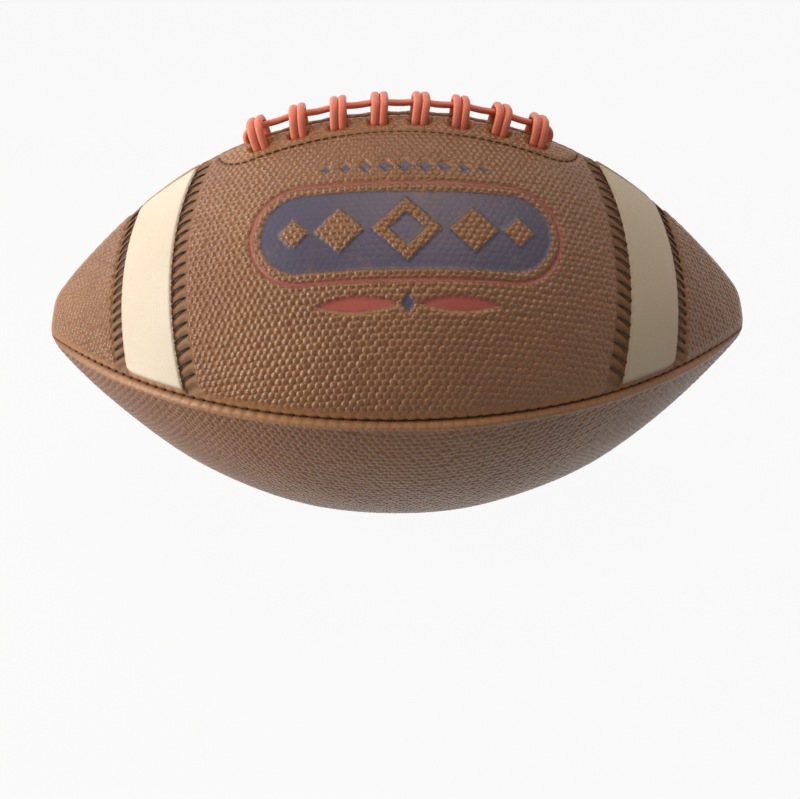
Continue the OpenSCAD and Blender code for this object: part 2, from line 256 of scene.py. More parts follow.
def from_outline(x, y):
    """Signed distance from the sewn outline round the lacing, seen from above."""
    return np.hypot(np.maximum(np.abs(x) - (outline_l - outline_w), 0), y) - outline_w


def from_holes(x, y, z):
    """Distance from the nearest pair of laces where it goes through the leather."""
    nearest = np.full(np.shape(x), 1.0)
    for i in range(cross_count):
        angle = (i - (cross_count - 1) / 2) * cross_angle
        beside = x * math.cos(angle) - (z - lacing_low) * math.sin(angle)
        gap = np.hypot(np.maximum(np.abs(beside) - lace_w + lace_t / 2, 0), np.abs(y) - hole_offset)
        nearest = np.minimum(nearest, gap - lace_t / 2)
    return nearest


print("the lacing lies on an arc of", round(lacing_radius / MM), "mm radius")

# %% [markdown]
# ### The print
# The ball has one pressed print on its front: a thin dusty red line in the shape of a long pill,
# and in it a dark blue field that the press has flattened, with raised lozenges left standing
# in it. Small blue lozenges run above it and two red leaves lie below. They mean nothing.


# %% Distances to the printed shapes
def pill(x, y, half_w, half_h):
    """Signed distance from a long shape with round ends."""
    return np.hypot(np.maximum(np.abs(x) - (half_w - half_h), 0), y) - half_h


def lozenge(x, y, half_w, half_h):
    """Signed distance from a lozenge."""
    return (np.abs(x) / half_w + np.abs(y) / half_h - 1) * half_w * half_h / math.hypot(half_w, half_h)


print_x = 1.5 * MM
print_y = 3 * MM
FIELD_HALF = (51 * MM, 15 * MM)
LINE_HALF = (54.5 * MM, 18.5 * MM)
line_half_w = 0.7 * MM
RAISED = ((0, 12 * MM), (23 * MM, 8.5 * MM), (39 * MM, 5.5 * MM))
CORE_HALF = (6.5 * MM, 6.5 * MM)
DROP_HALF = (2.4 * MM, 3.4 * MM)
row_y, row_step, row_size, row_shrink, row_last = 26 * MM, 7 * MM, 3.0 * MM, 0.3 * MM, 4
leaf_y, leaf_x, leaf_half_l, leaf_half_w = -26.5 * MM, 17 * MM, 14 * MM, 2.7 * MM
press_fade = 0.9 * MM


def print_distances(path, across):
    """Distances to the red and to the blue areas, less than nothing inside them."""
    x, y = np.abs(path - print_x), across - print_y
    field = pill(x, y, *FIELD_HALF)
    for centre, size in RAISED:
        field = np.maximum(field, -lozenge(x - centre, y, size, size))
    field = np.minimum(field, lozenge(x, y, *CORE_HALF))
    number = np.minimum(np.rint(x / row_step), row_last)
    size = row_size - row_shrink * number
    field = np.minimum(field, (np.abs(x - number * row_step) + np.abs(y - row_y) - size) / ROOT2)
    field = np.minimum(field, lozenge(x, y - leaf_y, *DROP_HALF))
    red = np.abs(pill(x, y, *LINE_HALF)) - line_half_w
    bulge = leaf_half_w * (1 - ((x - leaf_x) / leaf_half_l)**2)
    return np.minimum(red, np.abs(y - leaf_y) - bulge), field


def inked(distance):
    """How deep the press has gone in, from 0 outside a shape to 1 inside it."""
    return np.clip(0.5 - distance / press_fade, 0, 1)


print("the red line is", round(2 * LINE_HALF[0] / MM), "by", round(2 * LINE_HALF[1] / MM), "mm")

# %% [markdown]
# ## The relief of the leather
# Seams are sewn inside out and turned, so each edge rolls into the groove, and every stitch pulls
# it in a little. Beside the stripes the leather is pressed smooth and puckers between the
# stitches. All of this is real shape, worked out here as a depth for each point of the outer face.

# %% Depth of the relief
leather_t = 1.8 * MM
flange_depth = 5.5 * MM
half_gap = 0.05 * MM
seam_pitch = 4.2 * MM
SLOW_WAVES = (0.14 * MM, 0.16 * MM)
GRAIN_FROM_SEAM = (1.6 * MM, 4.5 * MM)
GRAIN_FROM_TIP = (3 * MM, 16 * MM)
SEAM_SOIL_AND_SHADE_REACH = (0.2 * MM, 1.8 * MM)
rim_height, rim_pleat = 0.72 * MM, 0.22 * MM
groove_side = 0.25 * MM
band_depth, band_pull = 0.20 * MM, 0.55 * MM
gutter_depth, gutter_w = 0.30 * MM, 1.3 * MM
outline_dent, outline_dent_w = 0.34 * MM, 0.8 * MM
hole_sink, hole_swell = 1.3 * MM, 0.30 * MM
print_depth = 0.24 * MM


def bell(distance, width):
    return np.exp(-(distance / width)**2)


def seam_relief(panel, path, turn, seam_gap):
    """Depth, and grime with painted shade, beside the seams: rolled rims with a painted highlight on the
    lower panels, a groove on the upper ones.
    """
    upper = panel.endswith("upper")
    # Grime and painted shade: the leather is darkened towards the seam's groove.
    soil_and_shade = 0.75 * (1 - smooth_step(seam_gap, *SEAM_SOIL_AND_SHADE_REACH))
    away_from_nose = smooth_step(half_path - np.abs(path), 10 * MM, 40 * MM)
    at_side_seam = away_from_nose * (turn * PANELS[panel][1][1] * (1 if upper else -1) < 0)
    if upper:
        groove = smooth_step(seam_gap, 0.3 * MM, 1.4 * MM)
        groove = groove * (1 - smooth_step(seam_gap, 2.2 * MM, 5 * MM))
        return at_side_seam * groove * groove_side, soil_and_shade
    pleat = np.abs(np.cos(math.pi * path / (seam_pitch / 2)))
    rim = smooth_step(seam_gap, 0.3 * MM, 1.3 * MM) * (1 - smooth_step(seam_gap, 2.7 * MM, 4.6 * MM))
    rim = rim * at_side_seam
    # Painted highlight and wear: negative soil_and_shade lightens the rolled rim, most on its pleats.
    return -rim * (rim_height + rim_pleat * pleat), soil_and_shade - rim * (0.22 + 0.30 * pleat)


def sewn_relief(along, out, turn, place):
    """Depth, grime with painted shade, and grain at the stripes' stitches, the lacing's outline and the lace
    holes.
    """
    x, y, z = place[..., 0], place[..., 1], place[..., 2]
    offset = from_stripe(along, out)
    beside = np.abs(offset) - stripe_w / 2
    band = smooth_step(beside, -0.4 * MM, 0.5 * MM)
    band = band * (1 - smooth_step(beside, stitch_reach - 0.6 * MM, stitch_reach + 1.2 * MM))
    pull = 0.5 + 0.5 * np.cos(2 * math.pi * stitch_count(offset, turn))
    gutter = band * bell(beside, gutter_w)
    outline = np.abs(from_outline(x, y))
    hole = from_holes(x, y, z)
    depth = band * (band_depth + band_pull * pull) + gutter_depth * gutter
    depth = depth + outline_dent * bell(outline, outline_dent_w)
    depth = depth + hole_sink * (1 - smooth_step(hole, -0.3 * MM, 1.2 * MM))
    depth = depth - hole_swell * bell(hole - 2.6 * MM, 1.2 * MM)
    # Grime and painted shade: darker over the stitch band, most at each stitch, in the gutter and along the
    # outline.
    soil_and_shade = np.maximum(band * (0.50 + 0.35 * pull**2) + 0.25 * gutter, 0.5 * bell(outline, 0.7 * MM))
    # Painted shadow: the leather is darkened round each lace hole, where the laces go in.
    soil_and_shade = np.maximum(soil_and_shade, 0.8 * (1 - smooth_step(hole, 0, 1.6 * MM)))
    grain = smooth_step(beside, stitch_reach - 0.8 * MM, stitch_reach + 1.2 * MM)
    grain = grain * smooth_step(outline, 0.3 * MM, 1.6 * MM) * smooth_step(hole, 0.2 * MM, 2.4 * MM)
    grain = grain * (0.8 + 0.2 * smooth_step(from_outline(x, y), -3 * MM, 1.5 * MM))
    return depth, soil_and_shade, grain


def relief(panel, path, turn, seam_gap):
    """Depth of the pressed and pulled places, and how full the pebbles, the dirt with its painted shade and
    light, and the print are.
    """
    along, out, side = on_panel(path, turn, 0)
    across = (out + set_back) * turn
    long_wave = np.sin(path / (17 * MM) + 1.3) * np.cos(across / (13 * MM))
    short_wave = np.sin(path / (9.5 * MM) + across / (21 * MM)) * np.sin(across / (8 * MM) + 0.7)
    depth, soil_and_shade = seam_relief(panel, path, turn, seam_gap)
    depth = depth + SLOW_WAVES[0] * long_wave + SLOW_WAVES[1] * short_wave
    grain = smooth_step(seam_gap, *GRAIN_FROM_SEAM)
    grain = grain * smooth_step(half_path - np.abs(path), *GRAIN_FROM_TIP)
    printed = np.zeros(np.shape(path))
    if panel.endswith("upper"):
        sewn_depth, sewn_soil_and_shade, sewn_grain = sewn_relief(along, out, turn, to_ball(panel, along, out, side))
        depth = depth + sewn_depth
        soil_and_shade = np.maximum(soil_and_shade, sewn_soil_and_shade)
        grain = grain * sewn_grain
    if panel == "front_upper":
        red, blue = print_distances(path, across)
        depth = depth + print_depth * np.maximum(inked(red), inked(blue))
        grain = grain * (1 - 0.85 * inked(blue)) * (1 - inked(red))
        printed = printed + 1.0
    return depth, grain, soil_and_shade, printed


print("a seam stitch every", seam_pitch / MM, "mm, leather", leather_t / MM, "mm thick")

# %% [markdown]
# ## Pebbles
# The leather is embossed with round pebbles in staggered rows about 2.5 mm apart. The rule for
# them is built from nodes: for a place on the leather, the four nearest spots of the staggered
# rows are each shifted a little by white noise, and the tallest dome there wins. The same nodes
# go into a geometry group, which lifts the real surface, and into a shader group, which colours
# the domes, paints shade into the creases and sharpens them, so both agree.


# %% Helpers for node trees
def put(tree, kind, *inputs, **settings):
    """Adds a node, makes its settings, and links or sets its inputs in order."""
    node = tree.nodes.new(kind)
    for key, value in settings.items():
        setattr(node, key, value)
    for socket, value in zip(node.inputs, inputs):
        if isinstance(value, bpy.types.NodeSocket):
            tree.links.new(value, socket)
        elif value is not None:
            socket.default_value = value
    return node


def maths(tree, operation, *inputs, clamp=False):
    return put(tree, "ShaderNodeMath", *inputs, operation=operation, use_clamp=clamp).outputs[0]


def vector(tree, x, y, z=0.0):
    return put(tree, "ShaderNodeCombineXYZ", x, y, z).outputs[0]


def vector_maths(tree, operation, *inputs, output="Vector"):
    return put(tree, "ShaderNodeVectorMath", *inputs, operation=operation).outputs[output]


def scaled(tree, value, factor):
    """A vector times a number or a socket."""
    node = put(tree, "ShaderNodeVectorMath", value, operation="SCALE")
    if isinstance(factor, bpy.types.NodeSocket):
        tree.links.new(factor, node.inputs["Scale"])
    else:
        node.inputs["Scale"].default_value = factor
    return node.outputs[0]


def new_group(kind, name, inputs, outputs):
    """A node group with named sockets, and its input and output nodes."""
    tree = bpy.data.node_groups.new(name, kind)
    for label, socket, value in inputs:
        made = tree.interface.new_socket(label, in_out="INPUT", socket_type=socket)
        if value is not None:
            made.default_value = value
    for label, socket in outputs:
        tree.interface.new_socket(label, in_out="OUTPUT", socket_type=socket)
    return tree, tree.nodes.new("NodeGroupInput"), tree.nodes.new("NodeGroupOutput")


def send_out(tree, output, *values):
    """Links values to a group's outputs in order."""
    for socket, value in zip(output.inputs, values):
        tree.links.new(value, socket)


# %% The pebble rule
pebble_pitch = 2.5 * MM
row_gap = math.sqrt(0.75)
wander = 0.27
dome_reach = 0.60
dome_curve = 0.8
dome_spread, dome_least = 0.20, 0.84


def pebble_nodes(tree, place):
    """Height of the domes from 0 to 1, for a place measured in pebble pitches."""
    step, far = partial(maths, tree), partial(vector_maths, tree)
    x, y, _ = put(tree, "ShaderNodeSeparateXYZ", place).outputs
    flat = vector(tree, x, y)
    first_row = step("FLOOR", step("DIVIDE", y, row_gap))
    tallest = None
    for up in (0.0, 1.0):
        row = step("ADD", first_row, up)
        shift = step("MULTIPLY", step("FLOORED_MODULO", row, 2.0), 0.5)
        first = step("FLOOR", step("SUBTRACT", x, shift))
        for right in (0.0, 1.0):
            column = step("ADD", first, right)
            noise = put(tree, "ShaderNodeTexWhiteNoise", vector(tree, column, row), noise_dimensions="3D")
            spot = vector(tree, step("ADD", column, shift), step("MULTIPLY", row, row_gap))
            off = far("SUBTRACT", noise.outputs["Color"], (0.5, 0.5, 0.5))
            moved = far("MULTIPLY_ADD", off, (wander, wander, 0.0), spot)
            share = step("DIVIDE", far("DISTANCE", flat, moved, output="Value"), dome_reach)
            dome = step("SUBTRACT", 1.0, step("MULTIPLY", share, share), clamp=True)
            height = step("MULTIPLY_ADD", noise.outputs["Value"], dome_spread, dome_least)
            dome = step("MULTIPLY", dome, height)
            tallest = dome if tallest is None else step("MAXIMUM", tallest, dome)
    return step("POWER", tallest, dome_curve)


print("pebbles lie", pebble_pitch / MM, "mm apart")

# %% The geometry group that lifts the pebbles
pebble_lift = 0.34 * MM
lift_tree, lift_in, lift_out = new_group(
    "GeometryNodeTree", "lift_pebbles", [("Geometry", "NodeSocketGeometry", None)],
    [("Geometry", "NodeSocketGeometry")])
place_read = put(lift_tree, "GeometryNodeInputNamedAttribute", "place", data_type="FLOAT_VECTOR")
grain_read = put(lift_tree, "GeometryNodeInputNamedAttribute", "grain", data_type="FLOAT")
domes = pebble_nodes(lift_tree, scaled(lift_tree, place_read.outputs[0], 1 / pebble_pitch))
lift = maths(lift_tree, "MULTIPLY", maths(lift_tree, "MULTIPLY", domes, grain_read.outputs[0]), pebble_lift)
outward = lift_tree.nodes.new("GeometryNodeInputNormal").outputs[0]
set_place = lift_tree.nodes.new("GeometryNodeSetPosition")
lift_tree.links.new(lift_in.outputs[0], set_place.inputs["Geometry"])
lift_tree.links.new(scaled(lift_tree, outward, lift), set_place.inputs["Offset"])
send_out(lift_tree, lift_out, set_place.outputs[0])
print("the pebble group has", len(lift_tree.nodes), "nodes")

# %% [markdown]
# ## The four panels
# Each station of the grid is one closed loop: inner face, flange, rolled edge, outer face and back.
# The roll is tighter towards the noses, and at every seam stitch the edge is pulled in further.

# %% The loop round a panel
STATIONS = 500
OUTER_STEPS = 76
ROLL_STEPS = 7
INNER_STEPS = 4
hair = 0.01 * MM
edge_roll, edge_roll_belly, stitch_roll = 0.7, 1.1, 0.75
slit_clear = 0.1 * MM
layer_clear = 0.02 * MM


def roll_radius(path):
    """Radius of the rolled edge, tighter at the noses and pulled in at every seam stitch."""
    near_nose = smooth_step(half_path - np.abs(path), 2 * MM, 45 * MM)
    pulled = np.abs(np.cos(math.pi * path / seam_pitch))**6
    return (edge_roll + edge_roll_belly * near_nose + stitch_roll * pulled * near_nose) * MM


def kept_apart(path, depth, inset, least):
    """The turn of a layer's edge, which narrows to a hair near the noses and closes at their tips."""
    tip = np.clip((half_path - np.abs(path)) / (2 * MM), 0, 1)
    return np.maximum(edge_turn(path, depth, inset), least * tip / set_back)


def half_loop(path, roll, open_slit):
    """Depths and turns from the middle of the inner face to the middle of the outer face."""
    gap = half_gap + open_slit * (slit_w / 2 - half_gap)
    flange = flange_depth + open_slit * (leather_t + slit_clear - flange_depth)
    inner = gap + leather_t * (1 - open_slit) + layer_clear
    depths, turns = [], []
    for share in np.linspace(0, 1, INNER_STEPS + 1):
        depths.append(leather_t + 0 * path)
        turns.append(share * kept_apart(path, leather_t, inner, hair))
    wall = ((flange, inner, hair), (flange, gap, 3 * hair), ((flange + roll) / 2, gap, 3 * hair))
    for depth, inset, least in wall:
        depths.append(depth + 0 * path)
        turns.append(kept_apart(path, depth, inset, least))
    for angle in np.linspace(math.pi / 2, 0, ROLL_STEPS + 1):
        depth = roll * (1 - math.cos(angle))
        depths.append(depth)
        turns.append(kept_apart(path, depth, gap + roll * (1 - math.sin(angle)), 3 * hair))
    last = turns[-1]
    for share in np.linspace(1, 0, OUTER_STEPS + 1)[1:]:
        depths.append(0 * path)
        turns.append(share * last)
    return np.stack(depths, axis=1), np.stack(turns, axis=1)


print("a panel has", STATIONS, "stations,", OUTER_STEPS, "steps over each half of its outer face")

# %% The hole for the valve
valve_hole = 3.2 * MM
hole_wall = 0.45 * MM
rim_dip = 0.12 * MM
funnel = 0.93


def open_for_valve(path, turn, depth):
    """Moves the points near the valve onto the rim of its hole, and those inside it down its wall."""
    across = (panel_reach + set_back) * turn
    away = np.hypot(path, across)
    on_rim = np.abs(away - valve_hole) < hole_wall
    inside = away <= valve_hole - hole_wall
    wanted = np.where(on_rim, valve_hole, np.where(inside, away * funnel, away))
    stretch = wanted / np.maximum(away, 1e-9)
    deeper = np.where(inside, leather_t * 0.95, np.where(on_rim, rim_dip, depth))
    return path * stretch, turn * stretch, deeper, inside | on_rim


print("the valve's hole is", 2 * valve_hole / MM, "mm wide")

# %% Build the panels
pattern_shift = 0.31
hidden_soil_and_shade = 0.6


def build_panel(panel, seed):
    """One leather panel: its loops as a table, the grid shaped to them, and its pebbles lifted."""
    path = np.linspace(-half_path, half_path, STATIONS + 1)
    upper = panel.endswith("upper")
    slit = (1 - smooth_step(np.abs(meridian(path)[0]), slit_half - 2 * MM, slit_half)) * upper
    near_depth, near_turn = half_loop(path, roll_radius(path), slit)
    far_depth, far_turn = half_loop(path, roll_radius(path), 0 * path)
    depth = np.concatenate([near_depth, far_depth[:, ::-1][:, 1:]], axis=1)
    turn = np.concatenate([near_turn, -far_turn[:, ::-1][:, 1:]], axis=1)
    around = np.arange(depth.shape[1])
    first_outer = INNER_STEPS + 4
    outer = (around >= first_outer) & (around <= depth.shape[1] - 1 - first_outer)
    paths = np.broadcast_to(path[:, None], depth.shape)
    edge = edge_turn(paths, 0, 0)
    seam_gap = (meridian(paths)[1] + set_back) * (edge - np.abs(turn))
    pressed, grain, soil_and_shade, printed = relief(panel, paths, turn, np.maximum(seam_gap, 0))
    fade = smooth_step(seam_gap, 0.5 * MM, 2 * MM) * outer
    depth = depth + pressed * fade
    grain = grain * outer
    # Faces other than the outer face are darkened evenly, as painted shade.
    soil_and_shade = np.where(outer, soil_and_shade, hidden_soil_and_shade)
    printed = printed * outer
    if panel == "back_lower":
        opened = open_for_valve(paths, turn, depth)
        paths, turn, depth = (np.where(outer, new, old) for new, old in zip(opened, (paths, turn, depth)))
        grain = np.where(opened[3] & outer, 0, grain)
    place = np.stack([paths + seed, (meridian(paths)[1] + set_back) * turn, seam_gap], axis=-1)
    table = to_ball(panel, *on_panel(paths, turn, depth))
    values = {"place": place, "grain": grain, "soil_and_shade": soil_and_shade, "printed": printed}
    piece = shaped_grid("leather_" + panel, table, values)
    pebbles = piece.modifiers.new("pebbles", "NODES")
    pebbles.node_group = lift_tree
    bpy.ops.object.modifier_apply(modifier="pebbles")
    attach(piece, "root")
    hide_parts("panel_" + panel)
    return piece


leather_pieces = [build_panel(panel, pattern_shift * i) for i, panel in enumerate(PANELS)]
for piece in leather_pieces:
    print(piece.name, len(piece.data.polygons), "faces", [round(v / MM, 1) for v in piece.dimensions])

# %% [markdown]
# ## Stripes
# A stripe is a strip of smooth coated leather sewn on the panel. It is thin, its long edges are
# pulled down by the stitches, and its ends are cut round just short of the seams. It is laid on
# the same surface as the panel, by its distance from the plane through its middle.

# %% Build the stripes
stripe_t = 0.5 * MM
stripe_margin = 1.5 * MM
stripe_corner = 4.5 * MM
corner_share = 0.55
under_gap, top_gap = 0.04 * MM, 0.10 * MM
rim_round = 1.1 * MM
stitch_dent, stitch_dent_w = 0.16 * MM, 1.2 * MM
STRIPE_ROWS = 72
STRIPE_COLUMNS = 150


def stripe_face(panel, end, offsets, turns, lift):
    """Points of a stripe at rows of offsets and columns of turns, lifted off the panel."""
    paths = stripe_path_at(offsets[:, None], turns)
    along, out, side = on_panel(paths, turns, -lift)
    return to_ball(panel, end * along, out, side)


def turn_limit(offset):
    """The turn at which a line along a stripe comes to the margin beside the seam."""
    path = stripe_path_at(offset, 0.0)
    near = np.linspace(path, path + 12 * MM, 60)
    turn_here = edge_turn(near, 0, stripe_margin)
    reached = from_stripe(*on_panel(near, turn_here, 0)[:2])
    return float(np.interp(offset, reached, turn_here))


def build_stripe(panel, end, name):
    """One sewn-on stripe, closed over its top, its long edges, its ends and its underside."""
    half = stripe_w / 2
    offsets = np.linspace(-half, half, STRIPE_ROWS)
    towards_nose = np.clip((offsets - half + stripe_corner) / stripe_corner, 0, 1)
    round_off = stripe_corner * (1 - np.sqrt(1 - towards_nose**2)) / stripe_about
    high = np.array([turn_limit(offset) for offset in offsets]) - corner_share * round_off
    low = -high
    shares = np.linspace(0, 1, STRIPE_COLUMNS)
    turns = low[:, None] + (high - low)[:, None] * shares[None, :]
    beside = np.minimum(half - np.abs(offsets), 3 * MM)[:, None]
    at_ends = np.minimum(shares, 1 - shares)[None, :] * (high - low)[:, None] * stripe_about
    rim = np.minimum(beside, at_ends)
    pull = 0.5 + 0.5 * np.cos(2 * math.pi * stitch_count(np.sign(offsets)[:, None] * half, turns))
    lift = top_gap + stripe_t * np.sqrt(1 - (1 - rim / rim_round).clip(0, 1)**2)
    lift = lift - stitch_dent * pull * np.exp(-beside / stitch_dent_w)
    top = stripe_face(panel, end, offsets, turns, lift)
    under = stripe_face(panel, end, offsets, turns, under_gap + 0 * lift)
    table = np.concatenate([top, under[::-1]], axis=0)
    table = np.concatenate([table, table[:1]], axis=0)
    start = np.concatenate([top[:, :1], top[::-1][:, :1], top[:1, :1]], axis=0)
    finish = np.concatenate([top[:, -1:], top[::-1][:, -1:], top[:1, -1:]], axis=0)
    table = np.concatenate([start, table, finish], axis=1)
    across = np.concatenate([offsets, offsets[::-1], offsets[:1]])
    place = np.zeros(table.shape)
    place[..., 0] = across[:, None]
    place[:, 1:-1, 1] = np.concatenate([turns, turns[::-1], turns[:1]], axis=0) * stripe_about
    place[:, 1:-1, 2] = np.concatenate([rim, rim[::-1], rim[:1]], axis=0)
    piece = shaped_grid("sewn_" + name, table, {"place": place})
    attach(piece, "root")
    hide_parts(name)
    return piece


stripe_pieces = []
for side in ("front", "back"):
    for end, word in ((-1, "left"), (1, "right")):
        stripe_pieces.append(build_stripe(side + "_upper", end, f"stripe_{side}_{word}"))
print("stripes:", [len(piece.data.polygons) for piece in stripe_pieces], "faces each")

# %% [markdown]
# ## Threads
# Every stitch that shows is a short arched thread whose two ends dive into the leather. One is
# modelled as a thin rolled-up grid, and each stitch of a row is a copy of its points, turned so
# that it lies along its own two ends.


# %% One thread and its copies
thread_steps = 9
thread_taper = 0.35


def tube_table(points, side, across, thick, around=8, sharp=2.0):
    """Rings of a flat-sided or round tube along points, closed at both ends."""
    points = np.asarray(points, float)
    way = np.gradient(points, axis=0)
    way /= np.linalg.norm(way, axis=1, keepdims=True)
    side = np.broadcast_to(np.asarray(side, float), points.shape)
    side = side - (side * way).sum(axis=1, keepdims=True) * way
    side /= np.linalg.norm(side, axis=1, keepdims=True)
    up = np.cross(way, side)
    angle = np.linspace(0, 2 * math.pi, around + 1)
    wide = np.sign(np.cos(angle)) * np.abs(np.cos(angle))**(2 / sharp)
    high = np.sign(np.sin(angle)) * np.abs(np.sin(angle))**(2 / sharp)
    across = np.broadcast_to(across, len(points))[:, None, None]
    thick = np.broadcast_to(thick, len(points))[:, None, None]
    rings = (points[:, None] + side[:, None] * wide[None, :, None] * across / 2
             + up[:, None] * high[None, :, None] * thick / 2)
    first = np.repeat(points[:1, None], around + 1, axis=1)
    last = np.repeat(points[-1:, None], around + 1, axis=1)
    return np.concatenate([first, rings, last], axis=0)


def thread_points(length, rise, dive, bow):
    """An arched thread along X, bowed towards Y, whose ends go down into the leather."""
    share = np.linspace(-1, 1, thread_steps)
    arch = rise - (rise + dive) * np.abs(share)**4
    return np.stack([share * length / 2, bow * (1 - share**2), arch], axis=1)


def sew(name, node, frames, length, thickness, rise, dive, bow=0.0):
    """One piece with a copy of the same thread at every frame: a middle, a way along and a way up."""
    points = thread_points(length, rise, dive, bow)
    taper = thickness * (1 - thread_taper * np.abs(np.linspace(-1, 1, len(points)))**3)
    stitch = shaped_grid("one_" + name, tube_table(points, (0, 1, 0), taper, taper, around=7))
    local = np.array([vertex.co for vertex in stitch.data.vertices])
    faces = [tuple(face.vertices) for face in stitch.data.polygons]
    bpy.data.objects.remove(stitch)
    points, polygons = [], []
    for number, (middle, way, up) in enumerate(frames):
        way = way / np.linalg.norm(way)
        side = np.cross(up, way)
        side /= np.linalg.norm(side)
        up = np.cross(way, side)
        points.append(middle + local[:, :1] * way + local[:, 1:2] * side + local[:, 2:] * up)
        polygons += [tuple(v + number * len(local) for v in face) for face in faces]
    mesh = bpy.data.meshes.new(name)
    mesh.from_pydata(np.concatenate(points).tolist(), [], polygons)
    mesh.shade_smooth()
    along = np.tile(local[:, 0] / length, len(points))
    attribute = mesh.attributes.new("along", "FLOAT", "POINT")
    attribute.data.foreach_set("value", along.astype(np.float32))
    piece = bpy.data.objects.new(name, mesh)
    bpy.context.collection.objects.link(piece)
    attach(piece, "root")
    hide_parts(node)
    return piece


def between(first, second, upward):
    """The frame of a stitch from one point to another, turned so that its bow is on the high side."""
    way = second - first
    if np.cross(upward, way)[2] < 0:
        way = -way
    return ((first + second) / 2, way, upward)


print("a thread has", thread_steps, "rings")

# %% Stitches beside the stripes
SLANTED_THREAD = {"length": 6.9 * MM, "thickness": 0.72 * MM, "rise": 0.20 * MM, "dive": 0.55 * MM,
                  "bow": stitch_bow}
stitch_room = 1.4 * MM
tilt_share = 0.6
STITCH_ENDS = ((stripe_w / 2 - 0.6 * MM, -0.25 * MM), (stripe_w / 2 + stitch_reach - 0.3 * MM, 0.45 * MM))


def stripe_stitch_frames(panel, end):
    """Frames of the slanted stitches on both long edges of a stripe, as far as there is room."""
    frames = []
    widest = float(edge_turn(np.array(stripe_path), 0, stripe_margin))
    count_limit = int(stripe_about * widest / stitch_pitch) + 2
    for edge in (-1, 1):
        for number in range(-count_limit, count_limit + 1):
            spots = []
            for reach, depth in STITCH_ENDS:
                turn = (number * stitch_pitch - edge * reach * math.tan(stitch_slant)) / stripe_about
                path = stripe_path_at(edge * reach, turn)
                room = float(edge_turn(np.array(path), 0, stitch_room)) - abs(turn)
                along, out, side = on_panel(np.array(path), turn, depth)
                spots.append((to_ball(panel, end * along, out, side), room))
            if min(spots[0][1], spots[1][1]) < 0:
                continue
            middle = (spots[0][0] + spots[1][0]) / 2
            outward = middle - np.array([middle[0] * tilt_share, 0, seam_radius])
            frames.append(between(spots[0][0], spots[1][0], outward))
    return frames


thread_pieces = []
for side in ("front", "back"):
    for end, word in ((-1, "left"), (1, "right")):
        frames = stripe_stitch_frames(side + "_upper", end)
        thread_pieces.append(sew(f"slanted_stitches_{side}_{word}", f"stripe_stitches_{side}_{word}",
                                 frames, **SLANTED_THREAD))
print("slanted stitches per stripe:", len(frames))

# %% [markdown]
# ### Seam and outline stitches
# In the groove of every seam short threads cross from one rolled edge to the other. Around the
# lacing a row of small stitches holds the backing under the leather.

# %% Stitches across the seams
SEAMS = {"top": (0, 1), "front": (-1, 0), "back": (1, 0), "bottom": (0, -1)}
SEAM_THREAD = {"length": 2.0 * MM, "thickness": 0.7 * MM, "rise": 0.10 * MM, "dive": 0.4 * MM}
half_across, half_slant = 0.8 * MM, 0.3 * MM
bare_nose = 14 * MM
groove_depth = 1.75 * MM


def seam_stitch_frames(seam):
    """Frames of the short threads in a seam's groove, except at the noses and over the slit."""
    toward = np.array([0.0, *SEAMS[seam]])
    across = np.array([0.0, SEAMS[seam][1], -SEAMS[seam][0]])
    frames = []
    for number in range(-int(half_path / seam_pitch), int(half_path / seam_pitch) + 1):
        path = np.array(number * seam_pitch)
        if half_path - abs(path) < bare_nose:
            continue
        along, out, _ = on_panel(path, edge_turn(path, 0, 0), 0)
        if seam == "top" and abs(along) < slit_half + 1 * MM:
            continue
        middle = np.array([float(along), 0, seam_radius]) + toward * (float(out) * ROOT2 - groove_depth)
        reach = half_across * across + half_slant * np.array([1.0, 0, 0])
        frames.append(between(middle - reach, middle + reach, toward))
    return frames


for seam in SEAMS:
    frames = seam_stitch_frames(seam)
    thread_pieces.append(sew(f"seam_stitches_{seam}", f"seam_thread_{seam}", frames, **SEAM_THREAD))
    print(seam, "seam:", len(frames), "stitches")

# %% Stitches round the lacing
OUTLINE_THREAD = {"length": 2.5 * MM, "thickness": 0.60 * MM, "rise": 0.16 * MM, "dive": 0.35 * MM}
outline_sink, way_out = 0.26 * MM, 5 * MM
outline_pitch = 3.0 * MM
outline_share = 0.38
outline_end = math.radians(82)


def outline_point(length, panel):
    """A point of the sewn outline at a length from the middle of its long side, and the way out."""
    straight = outline_l - outline_w
    past = np.sign(length) * max(abs(length) - straight, 0)
    angle = past / outline_w
    x = np.clip(length, -straight, straight) + outline_w * math.sin(angle)
    y = outline_w * math.cos(angle)
    path = np.interp(abs(x), along_table, path_table) * np.sign(x)
    turn = edge_turn(np.array(path), 0, y)
    outer = to_ball(panel, *on_panel(np.array(path), turn, outline_sink))
    inner = to_ball(panel, *on_panel(np.array(path), turn, way_out))
    return outer, outer - inner


def outline_frames(panel):
    """Frames of the stitches of one panel's half of the outline."""
    frames = []
    half = outline_l - outline_w + outline_w * outline_end
    for number in range(-int(half / outline_pitch), int(half / outline_pitch) + 1):
        first, upward = outline_point((number - outline_share) * outline_pitch, panel)
        second = outline_point((number + outline_share) * outline_pitch, panel)[0]
        frames.append(between(first, second, upward))
    return frames


for side in ("front", "back"):
    frames = outline_frames(side + "_upper")
    thread_pieces.append(sew(f"outline_stitches_{side}", f"lacing_outline_{side}", frames, **OUTLINE_THREAD))
print("outline stitches per side:", len(frames))

# %% [markdown]
# ## The lacing
# One flat vinyl lace runs along the seam and dives through the slit beyond the last cross. Eight
# double crosses go over it, each strand from one row of holes to the other. The strands lean a
# little, each cross in its own way, as laces pulled tight by hand do.

